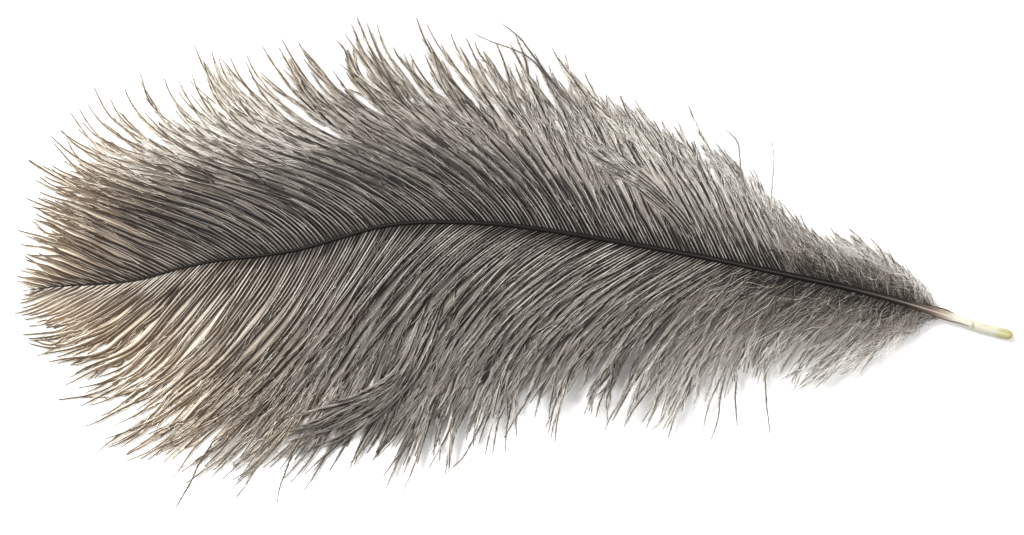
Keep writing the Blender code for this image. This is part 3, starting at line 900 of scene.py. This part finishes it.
sideNames = {1: "upper", -1: "lower"}
regionEnds = {"base": 75, "inner": 115, "middle": 150, "outer": 190, "tip": 260}  # stations
vanePieces = []


def growVane(side):
    barbs = layBarbs(side)
    root = barbs["station"][:, 0]
    low = 0
    for region, high in regionEnds.items():
        part = describe(chosen(barbs, (root >= low) & (root < high)))
        low = high
        vanePieces.append(joinedMesh(sideNames[side] + "_vane_" + region, dressed(part), barbMaterial))
    loose = dressed(describe(layFillers(side))) + [web(describe(layUnder(side)))]
    vanePieces.append(joinedMesh(sideNames[side] + "_vane_loose", loose, barbMaterial))


for side in sideNames:
    growVane(side)
print("vanes grown")


# The soft down at the foot of the feather: tufts of long fine hairs that grow from the shaft. In the
# reach, 1 is the vane's edge. The turn is in degrees: its usual value and its spread.
downSizes = {
    1: {"name": "upper_down", "tufts": 120, "stations": (19, 60), "reach": (0.3, 1.35), "turn": (10, 6)},
    -1: {"name": "lower_down", "tufts": 170, "stations": (17, 72), "reach": (0.3, 1.3), "turn": (0, 7)},
    "inTuft": 8, "points": 14, "rootSpread": 0.5, "spread": 1.1, "hairReach": (0.7, 1.1),
    "sway": 1.7, "ownSway": 0.35, "swaysFrom": (0, 6), "turnsFrom": 4, "above": 0.5, "rise": (-0.2, 2.0),
    "width": 0.12, "widthSpread": (0.6, 1.3), "roll": 0.6,
    "tones": (0.10, 0.38, 0.94), "darkOver": [(18, 2), (32, 7), (60, 11)], "pale": (0.35, 1.0),
    "tuftTone": 0.07, "hairTone": 0.17, "warmth": 0.05, "seed": 23,
}


def growDown(side):
    sizes = downSizes[side]
    rng = np.random.default_rng(downSizes["seed"] + side)
    tufts = sizes["tufts"]
    count = tufts * downSizes["inTuft"]
    owner = np.repeat(np.arange(tufts), downSizes["inTuft"])
    station = rng.uniform(*sizes["stations"], (tufts, 1))[owner]
    station = station + rng.normal(0, downSizes["rootSpread"], (count, 1))
    t = np.linspace(0, 1, downSizes["points"])[None]
    far = rng.uniform(*sizes["reach"], (tufts, 1))[owner] * rng.uniform(*downSizes["hairReach"], (count, 1))
    share = t * far * valueAt(barbSizes["reachScale"][side], station)
    moved = station + rng.normal(0, downSizes["spread"], (count, 1)) * t
    line = netPoint(side, moved, share)
    across = frameOf(line, side)[1]
    long = share * reachAt(side, station)
    tuftWave = wander(rng, tufts, t * 1.2)[owner]
    sway = downSizes["sway"] * tuftWave + downSizes["ownSway"] * wander(rng, count, long / 9)
    turn = np.tan(np.radians(rng.normal(*sizes["turn"], (tufts, 1))))[owner]
    turn = turn * np.maximum(long - downSizes["turnsFrom"], 0)
    line = line + across * (sway * smoothStep(*downSizes["swaysFrom"], long) + turn)[..., None]
    line[..., 2] += downSizes["above"] + rng.uniform(*downSizes["rise"], (count, 1)) * t
    low, middle, high = downSizes["tones"]
    tone = low + (middle - low) * smoothStep(0, valueAt(downSizes["darkOver"], station), long)
    tone = tone + (high - middle) * smoothStep(*downSizes["pale"], share)
    tone = tone + spots(toneSpots["paler"], side, moved, share)
    tone = tone - spots(toneSpots["darker"], side, moved, share)
    tone = tone + rng.normal(0, downSizes["tuftTone"], (tufts, 1))[owner]
    tone = tone + rng.normal(0, downSizes["hairTone"], (count, 1))
    width = downSizes["width"] * rng.uniform(*downSizes["widthSpread"], (count, 1)) * (1.08 - t)
    warmth = np.full(tone.shape, downSizes["warmth"])
    return ribbons(line, width, tone, warmth, rng.uniform(-downSizes["roll"], downSizes["roll"], count))


for side in sideNames:
    vanePieces.append(joinedMesh(downSizes[side]["name"], [growDown(side)], downMaterial))
print("down grown")


# Locks that have slipped over the others: their line, how wide they are at both ends, how many barbs, and
# how far they lie above the vane's net at their root and further on. Their looks are those of barbs at
# the station and share given here.
slippedLocks = {
    "swept_lock": {
        "side": -1, "wide": (4.0, 7.5), "barbs": 12, "above": (0.2, 1.9), "short": 0.72, "curl": 2.6,
        "station": 128, "share": (0.35, 0.85), "slim": 0.75, "paler": 0.05,
        "line": [
            (-19, -9), (-22.5, -18.5), (-27.5, -27.5), (-34.5, -34.2), (-43, -38.5), (-52.5, -41.5),
            (-61, -43.5),
        ],
    },
    "crossing_lock": {
        "side": 1, "wide": (3.0, 4.5), "barbs": 10, "above": (0.2, 2.0), "short": 0.75, "curl": -1.0,
        "station": 85, "share": (0.02, 0.62), "slim": 0.8, "paler": 0,
        "line": [(46, 3), (40, 12), (33, 19), (26, 24), (19, 29), (12, 36)],
    },
}
# what both locks share
lockShape = {
    "steps": 59, "uneven": 0.05, "sway": 0.5, "swaysOver": 0.4, "risesOver": 0.35,
    "sinks": 0.8, "sinksFrom": 0.75, "heights": (-0.4, 0.5), "root": 0.15, "toneSpread": 0.05,
}


def smoothPath(points, count):
    points = np.array(points, float)
    knots = np.concatenate(([0.0], np.cumsum(np.linalg.norm(np.diff(points[:, :2], axis=0), axis=1))))
    at = np.linspace(0, knots[-1], count)
    return np.stack([smoothThrough(knots, column, at) for column in points.T], -1)


def netHeight(side, x, y):
    # the height of the vane's net below each point
    net = nets[side][0].reshape(-1, 3)
    heights = np.empty(x.shape)
    for k in np.ndindex(x.shape[0]):
        off = (net[:, None, 0] - x[k]) ** 2 + (net[:, None, 1] - y[k]) ** 2
        heights[k] = net[off.argmin(0), 2]
    return heights


def slippedLock(look, seed):
    rng = np.random.default_rng(seed)
    count, side = look["barbs"], look["side"]
    t = np.linspace(0, 1, barbSizes["points"])[None]
    path = smoothPath(look["line"], lockShape["steps"] + 1)
    far = rng.uniform(look["short"], 1.0, (count, 1))
    at = np.minimum(t * far * lockShape["steps"], lockShape["steps"] - 0.001)
    i = at.astype(int)
    flat = path[i] + (path[i + 1] - path[i]) * (at - i)[..., None]
    across = frameOf(flat, side)[1][..., :2]
    place = np.linspace(-0.5, 0.5, count)[:, None]
    place = place + rng.uniform(-lockShape["uneven"], lockShape["uneven"], (count, 1))
    sway = lockShape["sway"] * wander(rng, count, t * 1.3) * smoothStep(0, lockShape["swaysOver"], t)
    curl = look["curl"] * (0.5 - place) * t**3
    flat = flat + across * (place * blend(look["wide"], t**1.5) + sway - curl)[..., None]
    height = netHeight(side, flat[..., 0], flat[..., 1])
    height = height + blend(look["above"], smoothStep(0, lockShape["risesOver"], t))
    height = height - lockShape["sinks"] * smoothStep(lockShape["sinksFrom"], 1, t)
    height = height + rng.uniform(*lockShape["heights"], (count, 1))
    share = blend(look["share"], t * np.ones((count, 1)))
    return describe({
        "side": side, "station": np.full(share.shape, float(look["station"])), "share": share,
        "t": np.broadcast_to(t, share.shape), "line": np.concatenate([flat, height[..., None]], 2),
        "slim": np.full((count, 1), look["slim"]), "rng": rng, "root": lockShape["root"],
        "own": rng.normal(look["paler"], lockShape["toneSpread"], (count, 1)),
    })


for seed, (name, look) in enumerate(slippedLocks.items()):
    vanePieces.append(joinedMesh(name, dressed(slippedLock(look, seed)), barbMaterial))
print("slipped locks laid")


# single barbs that stray past the edges, each from inside the vane to its tip, and their thickness
strayBarbs = {
    "lines": [
        [(14, 40), (9, 45.5), (4, 51), (-3.5, 54.5), (-11, 57.5)],
        [(15, 38), (9, 46), (4.5, 52), (1, 56.5), (-4, 60.5)],
        [(-28, 41), (-32.5, 49), (-35, 55), (-37, 60)],
        [(57, 18), (56.8, 24), (55.5, 30.5), (52, 33.5)],
        [(64.3, 12), (64.5, 18), (65, 25), (64.5, 32)],
        [(62.8, -17), (62.6, -26), (63.3, -34.5), (64.3, -44)],
        [(56, -22), (55.6, -29), (55.5, -35), (56.3, -41.5)],
        [(55.5, -22), (51.5, -29.5), (48.8, -36), (47.3, -42)],
        [(54, -25), (52, -32), (51, -39), (49, -45)],
        [(50, -24), (45, -31), (41, -37), (38.5, -44.5)],
        [(18.5, -22), (13, -30), (10, -36), (7.8, -42)],
        [(17, -25), (13, -31), (10.8, -38), (9.3, -44.5)],
        [(-1.5, -29), (-3.2, -36), (-4.5, -42), (-5.3, -48)],
        [(1, -29), (-0.8, -36), (-1.8, -42), (-2.3, -48)],
        [(-6, -36), (-9.5, -43), (-12.5, -48.5), (-15.5, -52)],
        [(-23, -42), (-27.5, -47), (-30.5, -50.5), (-33, -54)],
        [(-51, -41), (-55.5, -48), (-58, -54.5), (-59.3, -60.5)],
        [(-74, -43), (-79, -51), (-82, -57), (-85, -62)],
        [(110.3, -12.8), (108, -12.0), (105.8, -11.3), (101, -9.4)],
        [(113.8, -15.9), (110, -14.9), (105.5, -13.6), (101.5, -12.8), (96, -12.6)],
    ],
    "points": 18, "height": (3.2, 1.8), "sway": 0.18, "width": (0.40, 0.22), "ridge": 0.14,
    "tones": (0.17, 0.34), "toneSpread": 0.04, "rootPaler": 0.25, "highlightSidePaler": 0.12,
    "warmest": 0.6, "warmsOver": 120,  # mm from the middle towards the tip
    "faint": {3: 0.14, 4: 0.34, 5: 0.1},  # the paler ones, by number
    # so many of them, from the first on, carry fluff, like barbs at this station and share
    "fluffy": 18, "fluffSlim": 0.45, "station": 110, "share": (0.55, 0.95), "seed": 31,
}


def growStrays():
    rng = np.random.default_rng(strayBarbs["seed"])
    line = np.stack([smoothPath(path, strayBarbs["points"]) for path in strayBarbs["lines"]])
    count = len(line)
    t = np.linspace(0, 1, strayBarbs["points"])[None] * np.ones((count, 1))
    line = np.concatenate([line, blend(strayBarbs["height"], t)[..., None]], 2)
    side = np.where(line[:, 0, 1] > 0, 1, -1)[:, None]
    across = frameOf(line, 1)[1] * side[..., None]
    line = line + across * (strayBarbs["sway"] * wander(rng, count, t * 1.5) * t)[..., None]
    half = blend(strayBarbs["width"], t) / 2 * smoothStep(1.06, 0.9, t) * smoothStep(-0.1, 0.25, t)
    low = up * (strayBarbs["ridge"] * (1.1 - t))[..., None]
    rails = np.stack([line + across * half[..., None] - low, line, line - across * half[..., None] - low], 2)
    faint = np.array([strayBarbs["faint"].get(k, 0) for k in range(count)])[:, None]
    tone = blend(strayBarbs["tones"], t) + rng.normal(0, strayBarbs["toneSpread"], (count, 1))
    tone = tone + faint + strayBarbs["rootPaler"] * smoothStep(0.3, 0, t)
    warmth = np.clip(-line[:, :1, 0] / strayBarbs["warmsOver"], 0, strayBarbs["warmest"])
    # the side towards the tip carries a painted highlight, as on the stems
    tones = np.stack([tone + strayBarbs["highlightSidePaler"], tone, tone], 2)
    bare = banded(rails, tones, np.broadcast_to(warmth, t.shape), ((0, 1), (1, 2), (2, 0)))
    soft = line[:strayBarbs["fluffy"]]
    t, faint = t[:len(soft)], faint[:len(soft)]
    strands = describe({
        "side": -1, "station": strayBarbs["station"] * np.ones(t.shape), "t": t, "line": soft,
        "share": blend(strayBarbs["share"], t), "slim": np.full((len(soft), 1), strayBarbs["fluffSlim"]),
        "rng": rng, "own": faint, "root": 0.1,
    })
    return [bare, fluff(strands)]


vanePieces.append(joinedMesh("stray_barbs", growStrays(), barbMaterial))
print("stray barbs laid")


# the shaft, from its bare quill to its tip: stations and radii in mm, and its colours
shaftLook = {
    "sides": 20, "steps": 100, "stepsGrow": 1.6, "flatter": 0.92, "smoothUpTo": 50,
    "radii": [
        (0.0, 0.55), (0.3, 0.95), (1.0, 1.22), (2.6, 1.28), (3.4, 1.20), (8.0, 1.25), (18.0, 1.12),
        (26.0, 0.95), (36.0, 0.82), (60.0, 0.72), (100.0, 0.62), (150.0, 0.50), (200.0, 0.38),
        (235.0, 0.25), (252.0, 0.10),
    ],
    # along the shaft, from 0 at the quill's end to 1 at the tip: its sides, and the band along its top. On
    # the pale quill both are its own colour; along the dark shaft the band is a painted highlight and the
    # sides are darkened by painted shade
    "sidesColourAndShadeRamp": [
        (0.0, (0.36, 0.33, 0.15)), (0.012, (0.38, 0.36, 0.18)), (0.020, (0.50, 0.48, 0.37)),
        (0.060, (0.54, 0.53, 0.45)), (0.071, (0.33, 0.27, 0.21)), (0.084, (0.115, 0.088, 0.072)),
        (0.11, (0.024, 0.019, 0.016)), (0.18, (0.006, 0.005, 0.004)),
    ],
    "topColourAndHighlightRamp": [
        (0.0, (0.40, 0.38, 0.18)), (0.020, (0.54, 0.53, 0.43)), (0.064, (0.56, 0.55, 0.48)),
        (0.084, (0.38, 0.31, 0.26)), (0.12, (0.125, 0.100, 0.088)), (0.17, (0.042, 0.037, 0.034)),
        (0.30, (0.034, 0.030, 0.027)), (0.37, (0.014, 0.012, 0.011)), (0.50, (0.008, 0.007, 0.006)),
    ],
    "highlightBandHalf": 0.035, "highlightBandCore": 0.3,  # a part of the way round, and the even part of that
    "roughness": 0.5, "specular": 0.12,
    # fine lines along the horn: how close they are, their shade, and what they do to the gloss and relief
    "grain": (60, 1600, 1600), "grainDetail": 3, "grainShade": (0.72, 1.22), "grainRough": (-0.08, 0.12),
    "reliefStrength": 0.25, "reliefDepth": 0.0001,
    # the small brown mark on the quill: its place and radius in mm, and how it fades
    "mark": (114.9, -15.2, 0.6), "markTall": 0.5, "markCore": 0.3, "markStrength": 0.75,
    "markColour": (0.27, 0.23, 0.16),
}


def modelShaft():
    bpy.ops.object.select_all(action="DESELECT")
    bpy.ops.mesh.primitive_circle_add(vertices=shaftLook["sides"], radius=mm, rotation=(0, math.pi / 2, 0))
    piece = bpy.context.object
    piece.name = "shaft"
    bpy.ops.object.transform_apply(location=True, rotation=True, scale=True)
    bpy.ops.object.mode_set(mode="EDIT")
    bpy.ops.mesh.select_all(action="SELECT")
    bpy.ops.mesh.edge_face_add()
    steps = shaftLook["steps"]
    for step in range(steps):
        # short steps at the quill's end, where it is rounded, and longer ones further on
        passed = [shaftLength * (k / steps) ** shaftLook["stepsGrow"] for k in (step, step + 1)]
        move = (-(passed[1] - passed[0]) * mm, 0, 0)
        bpy.ops.mesh.extrude_region_move(TRANSFORM_OT_translate={"value": move})
    bpy.ops.mesh.select_all(action="SELECT")
    bpy.ops.mesh.normals_make_consistent(inside=False)
    bpy.ops.object.mode_set(mode="OBJECT")
    bendAlongShaft(piece)
    bpy.ops.object.shade_smooth_by_angle(angle=math.radians(shaftLook["smoothUpTo"]))
    return piece


def bendAlongShaft(piece):
    # the straight rod becomes the shaft's own line and thickness, with a map of around and along
    mesh = piece.data
    straight = np.empty(len(mesh.vertices) * 3)
    mesh.vertices.foreach_get("co", straight)
    straight = straight.reshape(-1, 3) / mm
    stations = -straight[:, 0]
    radii = valueAt(shaftLook["radii"], stations)
    ahead = shaftAt(np.minimum(stations + 1, shaftLength)) - shaftAt(np.maximum(stations - 1, 0))
    ahead /= np.linalg.norm(ahead, axis=1)[:, None]
    across = np.cross(ahead, up)
    across /= np.linalg.norm(across, axis=1)[:, None]
    above = np.cross(across, ahead)
    y, z = straight[:, 1] * radii, straight[:, 2] * radii * shaftLook["flatter"]
    placed = shaftAt(stations) - across * y[:, None] + above * z[:, None]
    placed[:, 0] -= drawing["centre"][0]
    placed[:, 1] -= drawing["centre"][1]
    mesh.vertices.foreach_set("co", (placed * mm).ravel())
    around = (np.degrees(np.arctan2(straight[:, 2], straight[:, 1])) + 90) % 360 / 360
    layer = mesh.uv_layers.new(name="OFBake")
    for polygon in mesh.polygons:
        loops = list(polygon.loop_indices)
        turns = np.array([around[mesh.loops[k].vertex_index] for k in loops])
        if len(loops) == 4 and turns.max() - turns.min() > 0.5:
            turns[turns < 0.5] += 1
        for k, turn in zip(loops, turns):
            along = stations[mesh.loops[k].vertex_index] / shaftLength
            layer.uv[k].vector = (min(max(turn, 0.0), 1.0), min(max(along, 0.001), 0.999))
    mesh.update()


def fadeIn(tree, value, radius, core, strength):
    # nothing from the radius out, and the full strength inside the core
    edges = {"Value": value, "From Min": radius, "From Max": radius * core, "To Max": strength}
    return addNode(tree, "MapRange", edges, interpolation_type="SMOOTHSTEP").outputs["Result"]


def mixColours(tree, factor, first, second, way):
    inputs = {"Factor": factor, "A": first, "B": second}
    return addNode(tree, "Mix", inputs, data_type="RGBA", blend_type=way).outputs["Result"]


def shaftMaterial():
    look = shaftLook
    material, tree, shader = newMaterial("shaftHorn", look["roughness"], look["specular"])
    carried = readMap(tree)
    # painted highlight: along the dark shaft the band on top is lighter than the sides with their painted
    # shade
    sides, top = (addRamp(tree, look[key], carried["Y"]) for key in ("sidesColourAndShadeRamp", "topColourAndHighlightRamp"))
    off = addNode(tree, "Math", {0: carried["X"], 1: 0.5}, operation="SUBTRACT")
    away = addNode(tree, "Math", {0: off.outputs[0]}, operation="ABSOLUTE")
    highlightBand = fadeIn(tree, away.outputs[0], look["highlightBandHalf"], look["highlightBandCore"], 1)
    colour = mixColours(tree, highlightBand, sides, top, "MIX")
    place = addNode(tree, "TexCoord", {}).outputs["Object"]
    stretch = addNode(tree, "Mapping", {"Vector": place, "Scale": look["grain"]}).outputs["Vector"]
    noise = {"Vector": stretch, "Scale": 1.0, "Detail": look["grainDetail"]}
    grain = addNode(tree, "TexNoise", noise).outputs["Fac"]
    low, high = look["grainShade"]
    shade = addNode(tree, "MapRange", {"Value": grain, "To Min": low, "To Max": high})
    colour = mixColours(tree, 1, colour, shade.outputs["Result"], "MULTIPLY")
    markX, markY, markSize = look["mark"]
    flat = addNode(tree, "VectorMath", {0: place, 1: (1, look["markTall"], 0)}, operation="MULTIPLY")
    middle = (markX * mm, markY * look["markTall"] * mm, 0)
    gap = addNode(tree, "VectorMath", {0: flat.outputs["Vector"], 1: middle}, operation="DISTANCE")
    spot = fadeIn(tree, gap.outputs["Value"], markSize * mm, look["markCore"], look["markStrength"])
    colour = mixColours(tree, spot, colour, (*look["markColour"], 1), "MIX")
    tree.links.new(colour, shader.inputs["Base Color"])
    low, high = (look["roughness"] + change for change in look["grainRough"])
    rough = addNode(tree, "MapRange", {"Value": grain, "To Min": low, "To Max": high})
    tree.links.new(rough.outputs["Result"], shader.inputs["Roughness"])
    relief = {"Height": grain, "Strength": look["reliefStrength"], "Distance": look["reliefDepth"]}
    tree.links.new(addNode(tree, "Bump", relief).outputs["Normal"], shader.inputs["Normal"])
    return material


shaftPiece = modelShaft()
shaftPiece.data.materials.append(shaftMaterial())
print("shaft modelled")

for piece in vanePieces + [shaftPiece]:
    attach(piece, "root")
    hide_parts(node)

# the floor, the lights and the camera, which looks straight down; lights are in metres and watts
studio = {
    "floor": (0.93, 0.93, 0.92), "floorSize": 3, "floorRoughness": 0.9, "world": 0.55,
    "lights": {
        "key": {"place": (-0.55, 0.65, 1.0), "size": 0.5, "power": 26},
        "fill": {"place": (0.8, -0.2, 1.1), "size": 1.2, "power": 8},
    },
    "imageWide": 1024, "imageHigh": 535, "mmPerPixel": 0.25, "originPixel": (514, 262),
    "lens": 200, "sensor": 36, "sees": 20, "trueAt": 4,  # the scale is true this many mm above the floor
}


def layFloor():
    bpy.ops.object.select_all(action="DESELECT")
    bpy.ops.mesh.primitive_plane_add(size=studio["floorSize"])
    floor = bpy.context.object
    floor.name = "floor"
    material, _, shader = newMaterial("paleFloor", studio["floorRoughness"], 0)
    shader.inputs["Base Color"].default_value = (*studio["floor"], 1)
    floor.data.materials.append(material)


def softLight(name, place, size, power):
    light = bpy.data.lights.new(name, "AREA")
    light.shape = "DISK"
    light.size = size
    light.energy = power
    lamp = bpy.data.objects.new(name, light)
    lamp.location = place
    aim = -lamp.location.normalized()
    lamp.rotation_euler = aim.to_track_quat("-Z", "Y").to_euler()
    bpy.context.scene.collection.objects.link(lamp)


def setUpCamera():
    data = bpy.data.cameras.new("camera")
    data.lens = studio["lens"]
    data.sensor_width = studio["sensor"]
    data.clip_end = studio["sees"]
    camera = bpy.data.objects.new("camera", data)
    scale = studio["mmPerPixel"]
    originX, originY = studio["originPixel"]
    middleX = (studio["imageWide"] / 2 - originX) * scale - drawing["centre"][0]
    middleY = (originY - studio["imageHigh"] / 2) * scale - drawing["centre"][1]
    height = studio["imageWide"] * scale * studio["lens"] / studio["sensor"] + studio["trueAt"]
    camera.location = (middleX * mm, middleY * mm, height * mm)
    bpy.context.scene.collection.objects.link(camera)
    bpy.context.scene.camera = camera


layFloor()
for name, values in studio["lights"].items():
    softLight(name, **values)
world = bpy.data.worlds.new("studio")
world.use_nodes = True
world.node_tree.nodes["Background"].inputs["Color"].default_value = (1, 1, 1, 1)
world.node_tree.nodes["Background"].inputs["Strength"].default_value = studio["world"]
bpy.context.scene.world = world
bpy.context.scene.view_settings.view_transform = "Standard"
setUpCamera()
print("studio set")
